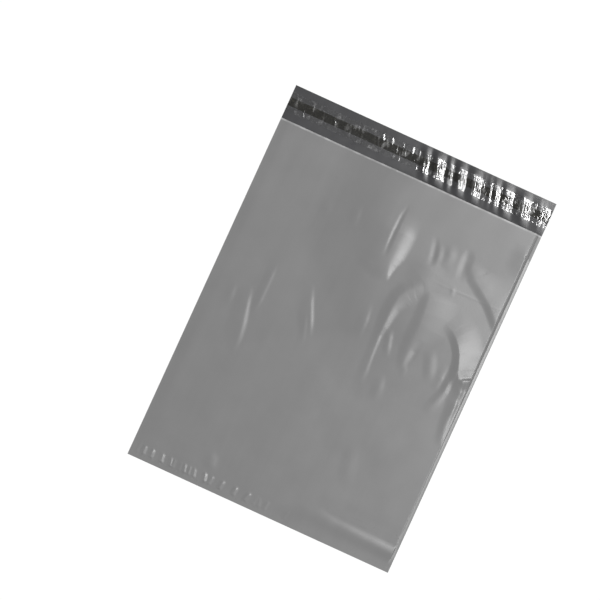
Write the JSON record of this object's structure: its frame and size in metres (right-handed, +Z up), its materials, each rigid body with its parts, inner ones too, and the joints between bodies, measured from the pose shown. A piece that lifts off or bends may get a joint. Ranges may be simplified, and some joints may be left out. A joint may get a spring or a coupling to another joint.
{
  "type": "poly mailer bag",
  "caption": "Flat courier mailer of welded grey plastic film with an open mouth, a dark-lined flap, a glue stripe and a puckered clear liner over it.",
  "frame": {"origin": "middle of the flat underside, where the bag lies on a surface", "axes": "+Z up through the film, +Y along the bag from its sealed bottom to its flap, +X across it"},
  "size_m": [0.305, 0.432, 0.008],
  "materials": {
    "grey_film": "satin grey polyethylene film, near black on its inner side",
    "hot_melt_glue": "smooth tacky pressure-sensitive stripe, dark over the black side of the film",
    "clear_liner": "clear glossy puckered release film"
  },
  "bodies": {
    "root": {"bag_film": "grey_film", "adhesive_strip": "hot_melt_glue", "release_liner": "clear_liner"}
  },
  "joints": []
}
